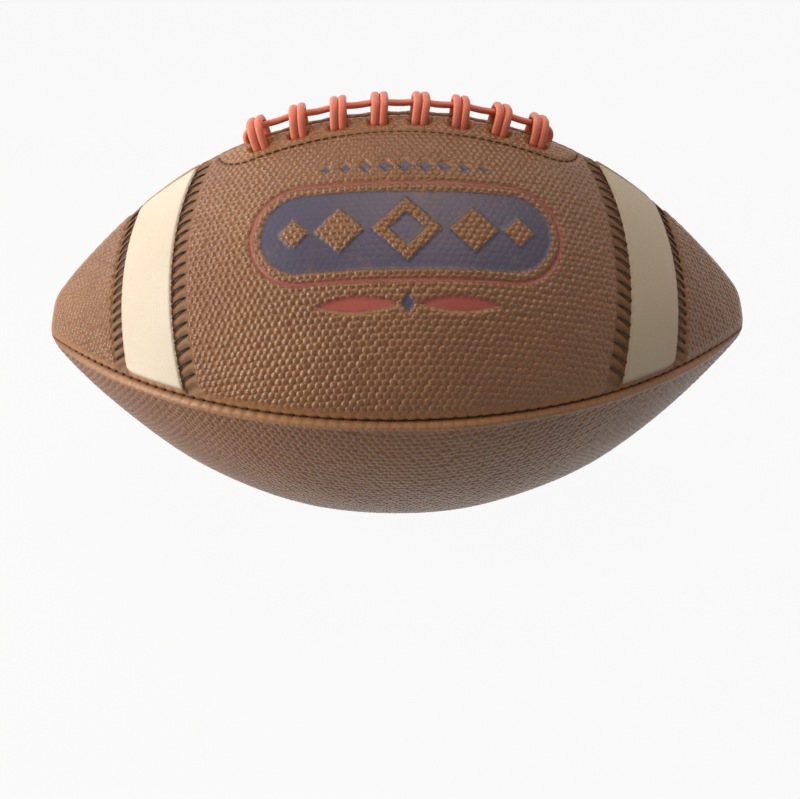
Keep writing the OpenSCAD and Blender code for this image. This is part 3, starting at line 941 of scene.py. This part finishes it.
# %% The crosses
run_height = 2.2 * MM + lace_t / 2
arch_height = run_height + lace_t + 0.1 * MM
leg_low = -6.0 * MM
hole_dip = -2.6 * MM
CROSS_LEANS = (0.6, 1.7, 1.5, 1.2, 0.9, -0.3, 0.2, -1.4)
strand_gap = 0.06 * MM
foot_share = 0.46
run_dip, run_wander = 0.22, 0.10
run_end = 2.2 * MM
run_turn = 3.2 * MM
LACE_SHAPE = {"around": 20, "sharp": 2.3}


def on_lacing(angle, beside, y, height):
    """A point over the top seam: beside and height are measured square to the lacing's arc."""
    x = (lacing_radius + height) * math.sin(angle) + beside * math.cos(angle)
    z = lacing_low + (lacing_radius + height) * math.cos(angle) - beside * math.sin(angle)
    return np.array([x, y, z])


def cross_strand(number, place):
    """Rings of one strand of a cross; place is -1 for its left strand and 1 for its right one."""
    angle = (number - (cross_count - 1) / 2) * cross_angle
    lean = CROSS_LEANS[number] * MM
    points = []
    for share in np.linspace(0, 1, 41):
        swing = math.pi * share
        y = -hole_offset * np.sign(math.cos(swing)) * abs(math.cos(swing))**0.55
        height = hole_dip + (arch_height - hole_dip) * math.sin(swing)**0.62
        drift = lean * math.sin(swing)**0.8 * (0.7 + 0.3 * math.cos(swing))
        spread = place * (lace_w / 2 + strand_gap) * (0.93 + 0.07 * math.sin(swing))
        points.append(on_lacing(angle, spread + drift, y, height))
    foot, far_foot = (on_lacing(angle, place * lace_w * foot_share, y, leg_low)
                      for y in (-hole_offset, hole_offset))
    points = np.array([foot] + points + [far_foot])
    return tube_table(points, (math.cos(angle), 0, -math.sin(angle)), lace_w, lace_t, **LACE_SHAPE)


def lace_run():
    """Rings of the lace that lies along the seam under the crosses and dives in at both ends."""
    last = (cross_count - 1) / 2 * cross_angle
    end = last + run_end / lacing_radius
    points = []
    for share in np.linspace(-1, 1, 141):
        angle = share * end
        wave = run_dip * math.cos(2 * math.pi * angle / cross_angle) + run_wander * math.sin(9.1 * share)
        points.append(on_lacing(angle, 0, 0.25 * MM * math.sin(7 * share), run_height - wave * MM))
    for side in (-1, 1):
        extra = []
        for bend in np.linspace(0.12, 1, 9) * math.pi / 2:
            height = run_height - run_turn * (1 - math.cos(bend))
            extra.append(on_lacing(side * end, side * run_turn * math.sin(bend), 0, height))
        extra.append(on_lacing(side * end, side * run_turn, 0, leg_low))
        points = extra[::-1] + points if side < 0 else points + extra
    return tube_table(np.array(points), (0, 1, 0), lace_w, lace_t, **LACE_SHAPE)


strands = [shaped_grid(f"strand_{number}_{place}", cross_strand(number, place))
           for number in range(cross_count) for place in (-1, 1)]
strands.append(shaped_grid("strand_run", lace_run()))
bpy.ops.object.select_all(action="DESELECT")
for strand in strands:
    strand.select_set(True)
bpy.context.view_layer.objects.active = strands[0]
bpy.ops.object.join()
laces = bpy.context.object
laces.name = "laces"
laces.data.name = "laces"
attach(laces, "root")
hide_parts("lace")
print("laces:", len(laces.data.polygons), "faces")

# %% [markdown]
# ## Materials
# Four effects are worked out once, each as a shader group: the pebbles, the print, the slow and
# fine variation of hide, and the weave of cloth. The materials place them with their own values.
# The panels carry attributes from the modelling: `place` along and across the panel, `grain` for
# how full the pebbles are, `soil_and_shade` for grime and painted shade in seams, stitches and lace
# holes, which is less than nothing on the lower rims, where a painted highlight and wear make the
# leather lighter, and `printed` for the face that takes the print.


# %% Colours and helpers
def colour(red, green, blue):
    """A colour given as a screen shows it, as the linear values that a shader takes."""
    values = [channel / 255 for channel in (red, green, blue)]
    linear = [v / 12.92 if v < 0.04045 else ((v + 0.055) / 1.055)**2.4 for v in values]
    return (*linear, 1.0)


def blend(tree, factor, first, second):
    """Mixes two colours; each may be a colour or a socket."""
    node = tree.nodes.new("ShaderNodeMix")
    node.data_type = "RGBA"
    for index, value in ((0, factor), (6, first), (7, second)):
        if isinstance(value, bpy.types.NodeSocket):
            tree.links.new(value, node.inputs[index])
        else:
            node.inputs[index].default_value = value
    return node.outputs[2]


def spread_out(tree, value, low, high, start=0.0, end=1.0):
    """Maps a range of values to another, with no overshoot."""
    return put(tree, "ShaderNodeMapRange", value, low, high, start, end).outputs[0]


def mottled(tree, hide, first, second):
    """Two near tones that take turns slowly over the surface."""
    return blend(tree, hide["Mottle"], colour(*first), colour(*second))


def laid_over(tree, base, tone, mask, strength=1.0):
    """Lays a tone over another by a mask."""
    return blend(tree, maths(tree, "MULTIPLY", mask, strength, clamp=True), base, colour(*tone))


def read_attribute(tree, name, output="Fac"):
    return put(tree, "ShaderNodeAttribute", attribute_name=name).outputs[output]


def use_group(tree, group, **values):
    node = tree.nodes.new("ShaderNodeGroup")
    node.node_tree = group
    for key, value in values.items():
        socket = node.inputs[key.replace("_", " ")]
        if isinstance(value, bpy.types.NodeSocket):
            tree.links.new(value, socket)
        else:
            socket.default_value = value
    return node.outputs


def new_material(name, **settings):
    """A material with its shader's constants set, and its tree, shader and object coordinates."""
    material = bpy.data.materials.new(name)
    material.use_nodes = True
    tree = material.node_tree
    shader = tree.nodes["Principled BSDF"]
    for key, value in settings.items():
        shader.inputs[key.replace("_", " ")].default_value = value
    position = tree.nodes.new("ShaderNodeTexCoord").outputs["Object"]
    return material, tree, shader, position


def surface(tree, shader, tone, rough, height, strength, distance):
    """Links a material's colour, its roughness and its bump."""
    bump = put(tree, "ShaderNodeBump")
    bump.inputs["Strength"].default_value = strength
    bump.inputs["Distance"].default_value = distance
    links = ((tone, shader.inputs["Base Color"]), (rough, shader.inputs["Roughness"]),
             (height, bump.inputs["Height"]), (bump.outputs[0], shader.inputs["Normal"]))
    for value, socket in links:
        tree.links.new(value, socket)


def wear(material, *pieces):
    """Gives pieces a material, and says so."""
    for piece in pieces:
        piece.data.materials.clear()
        piece.data.materials.append(material)
    print(material.name, "on", len(pieces), "pieces")


# %% The pebble group for shaders
pebble_tree, pebble_in, pebble_out = new_group(
    "ShaderNodeTree", "pebbled_grain",
    [("Place", "NodeSocketVector", None), ("Full", "NodeSocketFloat", 1.0)],
    [("Height", "NodeSocketFloat"), ("Top", "NodeSocketFloat"), ("Crease_shade", "NodeSocketFloat")])
full = pebble_in.outputs["Full"]
dome = pebble_nodes(pebble_tree, scaled(pebble_tree, pebble_in.outputs["Place"], 1 / pebble_pitch))
dome = maths(pebble_tree, "MULTIPLY", dome, full)
# crease_shade is a mask for painted shade in the creases between the domes
top, crease_shade = (maths(pebble_tree, "MULTIPLY", spread_out(pebble_tree, dome, low, high), full)
               for low, high in ((0.35, 0.8), (0.34, 0.08)))
send_out(pebble_tree, pebble_out, dome, top, crease_shade)

# %% [markdown]
# ### The print's colours
# The points of a panel lie too far apart for the crisp edges of ink. The print's distances are
# therefore worked out once more in a shader group, from the same values as the pressed shape. It
# gives a mask for the blue ink, one for the red, and one for painted shade along the edges that
# the press leaves.

# %% The print group
print_tree, print_in, print_out = new_group(
    "ShaderNodeTree", "pressed_print",
    [("Place", "NodeSocketVector", None), ("Printed", "NodeSocketFloat", 1.0)],
    [("Blue", "NodeSocketFloat"), ("Red", "NodeSocketFloat"), ("Edge_shade", "NodeSocketFloat")])
step = partial(maths, print_tree)
INK_EDGE = (0.15 * MM, -0.15 * MM)
PRESS_EDGE_SHADE = (0.75 * MM, 0.10 * MM)


def apart(value, middle):
    return step("ABSOLUTE", step("SUBTRACT", value, middle))


def pill_nodes(x, y, half_w, half_h):
    """The same distance as pill gives, from nodes."""
    past = step("MAXIMUM", step("SUBTRACT", x, half_w - half_h), 0.0)
    long = vector_maths(print_tree, "LENGTH", vector(print_tree, past, y), output="Value")
    return step("SUBTRACT", long, half_h)


def lozenge_nodes(x, y, half_w, half_h):
    """The same distance as lozenge gives, from nodes."""
    wide = step("DIVIDE", step("ABSOLUTE", x), half_w)
    both = step("ADD", wide, step("DIVIDE", step("ABSOLUTE", y), half_h))
    return step("MULTIPLY", step("SUBTRACT", both, 1.0), half_w * half_h / math.hypot(half_w, half_h))


along, aside, _ = put(print_tree, "ShaderNodeSeparateXYZ", print_in.outputs["Place"]).outputs
x = apart(along, print_x)
y = step("SUBTRACT", aside, print_y)
below = step("SUBTRACT", y, leaf_y)
field = pill_nodes(x, y, *FIELD_HALF)
for centre, size in RAISED:
    standing = lozenge_nodes(step("SUBTRACT", x, centre), y, size, size)
    field = step("MAXIMUM", field, step("MULTIPLY", standing, -1.0))
number = step("MINIMUM", step("ROUND", step("DIVIDE", x, row_step)), float(row_last))
small = step("ADD", apart(x, step("MULTIPLY", number, row_step)), apart(y, row_y))
small = step("SUBTRACT", small, step("MULTIPLY_ADD", number, -row_shrink, row_size))
blue_shapes = (lozenge_nodes(x, y, *CORE_HALF), step("DIVIDE", small, ROOT2),
               lozenge_nodes(x, below, *DROP_HALF))
for shape in blue_shapes:
    field = step("MINIMUM", field, shape)
line = step("SUBTRACT", step("ABSOLUTE", pill_nodes(x, y, *LINE_HALF)), line_half_w)
share = step("DIVIDE", step("SUBTRACT", x, leaf_x), leaf_half_l)
bulge = step("MULTIPLY_ADD", step("MULTIPLY", share, share), -leaf_half_w, leaf_half_w)
red = step("MINIMUM", line, step("SUBTRACT", step("ABSOLUTE", below), bulge))
nearest = step("MINIMUM", step("ABSOLUTE", field), step("ABSOLUTE", red))
masks = [step("MULTIPLY", spread_out(print_tree, distance, *edge), print_in.outputs["Printed"])
         for distance, edge in ((field, INK_EDGE), (red, INK_EDGE), (nearest, PRESS_EDGE_SHADE))]
send_out(print_tree, print_out, *masks)
print("the print group has", len(print_tree.nodes), "nodes")

# %% [markdown]
# ### Hide and cloth
# Nothing sewn is of one even tone. Three noises give hide its slow change, its fine pores and its
# scuffed patches, and the product of two waves gives cloth the look of a plain weave.

# %% The hide group
hide_tree, hide_in, hide_out = new_group(
    "ShaderNodeTree", "hide_variation", [("Position", "NodeSocketVector", None)],
    [("Mottle", "NodeSocketFloat"), ("Fine", "NodeSocketFloat"), ("Scuff", "NodeSocketFloat")])
HIDE_NOISES = ((26.0, 3.0, 0.55), (2600.0, 3.0, 0.6), (90.0, 5.0, 0.65))
mottle, fine, patch = (
    put(hide_tree, "ShaderNodeTexNoise", hide_in.outputs[0], None, *noise, noise_dimensions="3D").outputs[0]
    for noise in HIDE_NOISES)
send_out(hide_tree, hide_out, spread_out(hide_tree, mottle, 0.3, 0.7), fine,
         spread_out(hide_tree, patch, 0.58, 0.74))

# %% The weave group
weave_tree, weave_in, weave_out = new_group(
    "ShaderNodeTree", "woven_cloth",
    [("Position", "NodeSocketVector", None), ("Pitch", "NodeSocketFloat", 0.001)],
    [("Height", "NodeSocketFloat"), ("Gap", "NodeSocketFloat")])
parts = put(weave_tree, "ShaderNodeSeparateXYZ", weave_in.outputs[0]).outputs
yarns = []
for axis in (0, 1):
    count = maths(weave_tree, "DIVIDE", parts[axis], weave_in.outputs["Pitch"])
    wave = maths(weave_tree, "SINE", maths(weave_tree, "MULTIPLY", count, math.pi))
    yarns.append(maths(weave_tree, "ABSOLUTE", wave))
weave_height = maths(weave_tree, "MULTIPLY", *yarns)
send_out(weave_tree, weave_out, weave_height, spread_out(weave_tree, weave_height, 0.35, 0.05))
print("shader groups:", [tree.name for tree in (pebble_tree, print_tree, hide_tree, weave_tree)])

# %% [markdown]
# ### Leather
# Tops of the pebbles are smoother where hands polish them, and darker, partly by that polish and
# partly as painted shade; the net between them is lighter and dull, and painted shade darkens the
# creases. Grime and painted shade collect along seams, stitches and lace holes, a painted highlight
# and wear lighten the lower rims, and the print is laid over all of this with painted shade along
# its pressed edges.

# %% Leather
leather, tree, shader, position = new_material(
    "pebbled_leather", Specular_IOR_Level=0.62, Specular_Tint=(1.0, 0.84, 0.68, 1.0))
grain, soil_and_shade, printed = (read_attribute(tree, name) for name in ("grain", "soil_and_shade", "printed"))
place = read_attribute(tree, "place", "Vector")
ink = use_group(tree, print_tree, Place=place, Printed=printed)
pebbles = use_group(tree, pebble_tree, Place=place, Full=grain)
hide = use_group(tree, hide_tree, Position=position)
net = mottled(tree, hide, (155, 101, 61), (171, 116, 70))
# Darker tops: partly polish, partly painted shade of dome tops that catch little light.
tops = mottled(tree, hide, (119, 73, 43), (135, 86, 52))
skin = blend(tree, pebbles["Top"], net, tops)
# Painted shade: the creases between the pebbles are darkened.
skin = laid_over(tree, skin, (84, 56, 38), pebbles["Crease_shade"], 0.5)
skin = laid_over(tree, skin, (196, 146, 104), hide["Scuff"], 0.25)
skin = laid_over(tree, skin, (92, 58, 40), spread_out(tree, hide["Fine"], 0.35, 0.75, 0.0, 0.22))
# Grime and painted shade darken the seams, stitch bands and lace holes.
skin = laid_over(tree, skin, (48, 34, 26), soil_and_shade, 0.75)
# Painted highlight and wear: where soil_and_shade is below nothing, the lower rims turn lighter.
skin = laid_over(tree, skin, (196, 148, 112), soil_and_shade, -1.0)
ink_left = spread_out(tree, hide["Scuff"], 0.0, 1.0, 0.93, 0.68)
INKS = {"Blue": ((42, 50, 84), (56, 66, 104)), "Red": ((168, 74, 72), (188, 94, 88))}
for mask, tones in INKS.items():
    skin = blend(tree, maths(tree, "MULTIPLY", ink[mask], ink_left), skin, mottled(tree, hide, *tones))
# Painted shade along the pressed edges of the print.
skin = laid_over(tree, skin, (52, 40, 44), ink["Edge_shade"], 0.42)
shine = spread_out(tree, pebbles["Height"], 0.1, 0.9, 0.46, 0.24)
shine = maths(tree, "ADD", shine, maths(tree, "MULTIPLY", soil_and_shade, 0.2))
swell = maths(tree, "ADD", pebbles["Height"], maths(tree, "MULTIPLY", hide["Fine"], 0.10))
surface(tree, shader, skin, shine, swell, 0.95, 0.52 * MM)
wear(leather, *leather_pieces)

# %% [markdown]
# ### Stripes, threads and laces
# The stripes are coated smooth, with fine pores and a rim that is darker towards their edges. The
# threads are waxed, so they are dark with a dull twist. The laces are moulded vinyl, a little paler
# where they are rubbed.

# %% Stripes
stripe_skin, tree, shader, position = new_material("stripe_skin", Specular_IOR_Level=0.45)
hide = use_group(tree, hide_tree, Position=position)
rim = put(tree, "ShaderNodeSeparateXYZ", read_attribute(tree, "place", "Vector")).outputs["Z"]
white = mottled(tree, hide, (228, 213, 192), (234, 222, 204))
white = laid_over(tree, white, (214, 194, 160), hide["Scuff"], 0.25)
white = laid_over(tree, white, (208, 184, 150), spread_out(tree, hide["Fine"], 0.52, 0.68, 0.0, 0.45))
# Darker towards the stripe's edges.
white = laid_over(tree, white, (176, 154, 122), spread_out(tree, rim, 1.4 * MM, 0.1 * MM, 0.0, 0.55))
shine = spread_out(tree, hide["Fine"], 0.3, 0.7, 0.40, 0.52)
surface(tree, shader, white, shine, hide["Fine"], 0.45, 0.07 * MM)
wear(stripe_skin, *stripe_pieces)

# %% Threads
waxed, tree, shader, position = new_material("waxed_thread", Specular_IOR_Level=0.35)
hide = use_group(tree, hide_tree, Position=position)
twist = maths(tree, "SINE", maths(tree, "MULTIPLY", read_attribute(tree, "along"), 44.0))
strand = blend(tree, spread_out(tree, twist, -1.0, 1.0), colour(44, 32, 24), colour(80, 59, 43))
strand = laid_over(tree, strand, (84, 66, 52), spread_out(tree, hide["Fine"], 0.5, 0.8, 0.0, 0.5))
shine = spread_out(tree, hide["Fine"], 0.3, 0.7, 0.55, 0.75)
surface(tree, shader, strand, shine, twist, 0.5, 0.08 * MM)
wear(waxed, *thread_pieces)

# %% Laces
lace_skin, tree, shader, position = new_material("lace_skin", Specular_IOR_Level=0.5)
hide = use_group(tree, hide_tree, Position=position)
vinyl = mottled(tree, hide, (240, 128, 100), (246, 142, 116))
vinyl = laid_over(tree, vinyl, (244, 172, 150), hide["Scuff"], 0.4)
vinyl = laid_over(tree, vinyl, (206, 92, 70), spread_out(tree, hide["Fine"], 0.45, 0.8, 0.0, 0.35))
shine = spread_out(tree, hide["Fine"], 0.3, 0.7, 0.36, 0.52)
surface(tree, shader, vinyl, shine, hide["Fine"], 0.3, 0.06 * MM)
wear(lace_skin, laces)

# %% [markdown]
# ### Inner pieces
# The lining is woven cotton, the backings are split hide, the guard is felt, and the bladder and
# its valve are rubber. They keep the construction's shapes, because none of them shows outside.

# %% Cloth and rubber of the inner pieces
cloth, tree, shader, position = new_material("woven_lining", Specular_IOR_Level=0.2)
weave = use_group(tree, weave_tree, Position=position, Pitch=0.9 * MM)
hide = use_group(tree, hide_tree, Position=position)
cotton = mottled(tree, hide, (214, 206, 184), (228, 221, 202))
cotton = laid_over(tree, cotton, (160, 148, 122), weave["Gap"])
shine = spread_out(tree, hide["Fine"], 0.2, 0.8, 0.8, 0.95)
surface(tree, shader, cotton, shine, weave["Height"], 0.6, 0.2 * MM)


def plain_material(name, low, high, smooth, rough):
    """A dyed or moulded material between two tones, with fine relief."""
    material, tree, shader, position = new_material(name, Specular_IOR_Level=0.4)
    hide = use_group(tree, hide_tree, Position=position)
    tone = mottled(tree, hide, low, high)
    tone = laid_over(tree, tone, low, spread_out(tree, hide["Fine"], 0.45, 0.8, 0.0, 0.3))
    shine = spread_out(tree, hide["Fine"], 0.3, 0.7, smooth, rough)
    surface(tree, shader, tone, shine, hide["Fine"], 0.35, 0.1 * MM)
    return material


INNER_MATERIALS = {
    "lining": cloth,
    "lace_backing": plain_material("split_hide", (112, 74, 54), (136, 94, 68), 0.75, 0.9),
    "lace_guard": plain_material("guard_felt", (62, 58, 54), (82, 76, 70), 0.85, 0.95),
    "bladder": plain_material("bladder_rubber", (30, 30, 33), (42, 42, 45), 0.45, 0.6),
    "valve": plain_material("valve_rubber", (36, 35, 35), (54, 52, 50), 0.4, 0.55),
}
for start, material in INNER_MATERIALS.items():
    wear(material, *[node for name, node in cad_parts.items() if name.startswith(start)])

# %% [markdown]
# ## Floor, light and camera
# A big plain floor reaches past the view. What the camera sees of it and of the sky, straight or
# in a gloss, is white, and the ball's soft shadow stays. A window-like lamp stands at the left
# with a low, flat one below it, a wide warm one hangs above, a weak one behind lights the
# lacing's far side, and a dim even sky fills the rest.

# %% Floor
floor_size = 30
floor_white = 0.94


def seen_rays(tree):
    """One for what the camera sees, straight or in a gloss or through glass, and else nothing."""
    rays = tree.nodes.new("ShaderNodeLightPath").outputs
    indirect = maths(tree, "MAXIMUM", rays["Is Glossy Ray"], rays["Is Transmission Ray"])
    return maths(tree, "MAXIMUM", rays["Is Camera Ray"], indirect)


bpy.ops.object.select_all(action="DESELECT")
bpy.ops.mesh.primitive_plane_add(size=floor_size)
floor = bpy.context.object
floor.name = "floor"
paper, tree, shader, _ = new_material("floor_paper", Roughness=0.9, Specular_IOR_Level=0.1)
shader.inputs["Base Color"].default_value = (0.40, 0.40, 0.40, 1)
glow = put(tree, "ShaderNodeEmission", (1, 1, 1, 1), 1.0)
mixed = put(tree, "ShaderNodeMixShader", maths(tree, "MULTIPLY", seen_rays(tree), floor_white),
            shader.outputs[0], glow.outputs[0])
tree.links.new(mixed.outputs[0], tree.nodes["Material Output"].inputs["Surface"])
wear(paper, floor)

# %% Sky
world = bpy.data.worlds.new("studio")
bpy.context.scene.world = world
world.use_nodes = True
sky_tree = world.node_tree
sky = sky_tree.nodes["Background"]
sky.inputs["Color"].default_value = (1.0, 0.87, 0.72, 1)
sky.inputs["Strength"].default_value = 0.05
white_sky = put(sky_tree, "ShaderNodeBackground", (0.97, 0.97, 0.97, 1), 1.0)
mixed = put(sky_tree, "ShaderNodeMixShader", seen_rays(sky_tree), sky.outputs[0], white_sky.outputs[0])
sky_tree.links.new(mixed.outputs[0], sky_tree.nodes["World Output"].inputs["Surface"])
print("sky strength", round(sky.inputs["Strength"].default_value, 3))

# %% Lamps
middle = Vector((0, 0, seam_radius))
LAMPS = {
    "window": ((-0.70, -0.18, 0.44), (0.20, 0.34), 3.0, (0.96, 0.98, 0.99)),
    "low_wall": ((-0.62, -0.22, 0.07), (0.30, 0.10), 1.4, (1.0, 0.90, 0.76)),
    "ceiling": ((0.08, -0.08, 1.1), (0.7, 0.7), 4.6, (1.0, 0.85, 0.68)),
    "back_wall": ((-0.55, 0.45, 0.55), (0.4, 0.4), 1.3, (1.0, 0.94, 0.86)),
}
for name, (spot, size, power, tint) in LAMPS.items():
    data = bpy.data.lights.new(name, "AREA")
    data.shape = "RECTANGLE"
    data.size, data.size_y = size
    data.energy = power
    data.color = tint
    lamp = bpy.data.objects.new(name, data)
    bpy.context.collection.objects.link(lamp)
    lamp.location = spot
    lamp.rotation_euler = (middle - Vector(spot)).to_track_quat("-Z", "Y").to_euler()
    print(name, power, "W")

# %% Camera
camera_tilt, camera_turn, camera_roll = (math.radians(angle) for angle in (23.47, 1.24, -0.71))
camera_distance = 0.397
camera = bpy.data.objects.new("camera", bpy.data.cameras.new("camera"))
bpy.context.collection.objects.link(camera)
turned = (Matrix.Rotation(camera_roll, 3, "Y") @ Matrix.Rotation(camera_turn, 3, "Z")
          @ Matrix.Rotation(camera_tilt, 3, "X")).transposed()
right, forward, upward = (turned @ Vector(axis) for axis in ((1, 0, 0), (0, 1, 0), (0, 0, 1)))
camera_place = middle - camera_distance * forward
camera.matrix_world = Matrix((
    (right.x, upward.x, -forward.x, camera_place.x),
    (right.y, upward.y, -forward.y, camera_place.y),
    (right.z, upward.z, -forward.z, camera_place.z),
    (0, 0, 0, 1)))
camera.data.lens = 43.65
camera.data.sensor_width = 36
camera.data.shift_x = 0.001
camera.data.shift_y = -0.100
camera.data.clip_start = 0.01
bpy.context.scene.camera = camera
bpy.context.scene.view_settings.view_transform = "Standard"
print("the camera stands at", [round(value, 3) for value in camera_place])
